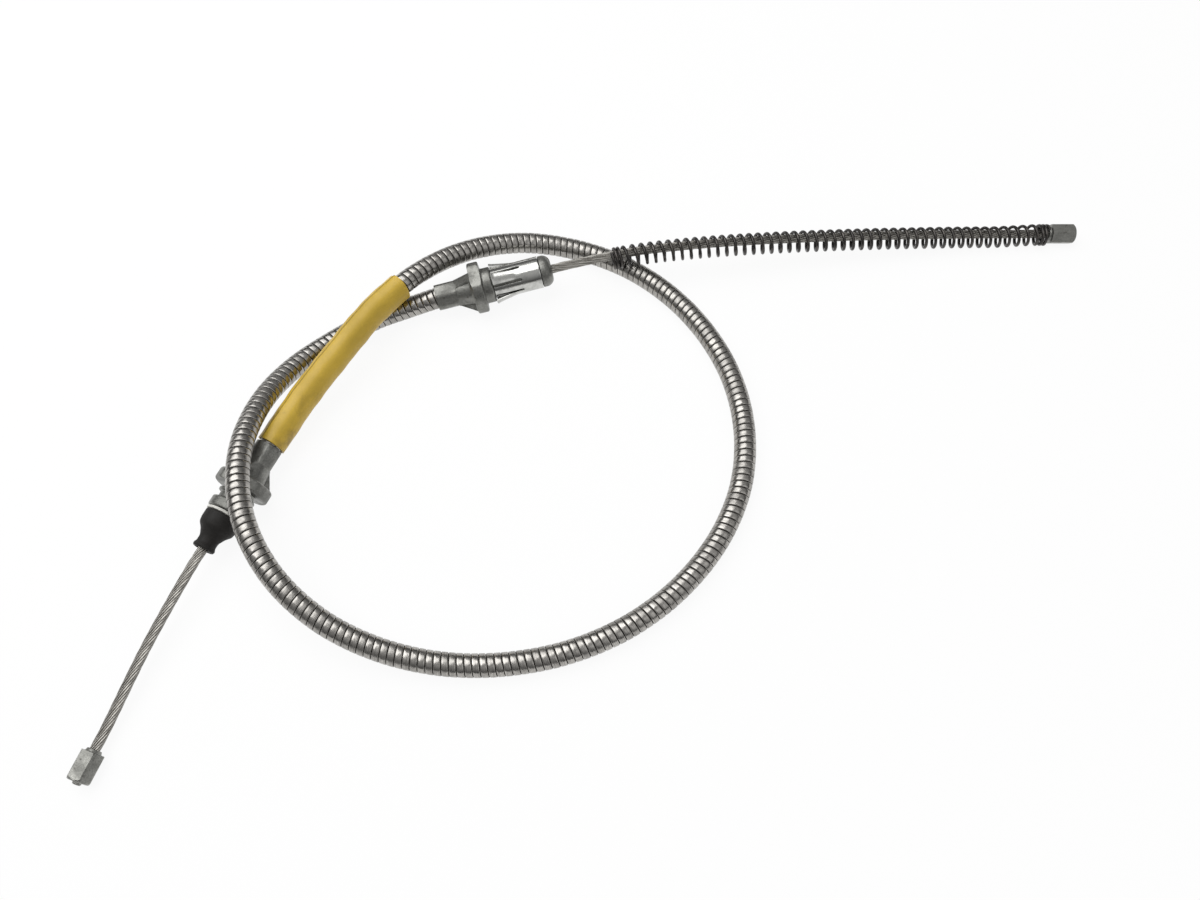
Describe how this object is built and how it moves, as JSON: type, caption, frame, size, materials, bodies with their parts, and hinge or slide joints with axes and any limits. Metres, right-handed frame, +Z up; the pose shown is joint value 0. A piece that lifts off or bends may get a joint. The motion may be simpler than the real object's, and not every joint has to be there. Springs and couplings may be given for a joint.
{
  "type": "parking brake cable",
  "caption": "Parking brake cable: stranded wire in spiral-wound steel conduit, flanged end fittings, return spring, rubber boot and hexagonal wire stops, coiled once.",
  "frame": {"origin": "centre of the footprint, on the surface that the cable lies on", "axes": "+Z up from that surface, +X along the long side of the footprint towards the spring's stop"},
  "size_m": [0.4981, 0.3002, 0.0352],
  "materials": {
    "wire_steel": "galvanised strands",
    "liner_plastic": "natural",
    "conduit_steel": "galvanised strip, satin",
    "yellow_plastic": "satin, soiled at one end",
    "spring_steel": "dark, oiled",
    "zinc": "die cast, dull",
    "bright_steel": "bright plated",
    "nylon": "natural",
    "rubber": "matt"
  },
  "bodies": {
    "root": {"inner_wire": "wire_steel", "conduit_liner": "liner_plastic", "conduit_armour": "conduit_steel", "id_sleeve": "yellow_plastic", "return_spring": "spring_steel", "fitting_a_body": "zinc", "fitting_a_retainer": "bright_steel", "fitting_b_body": "zinc", "fitting_b_bush": "nylon", "fitting_b_boot": "rubber", "stop_a": "zinc", "stop_b": "zinc"}
  },
  "joints": []
}
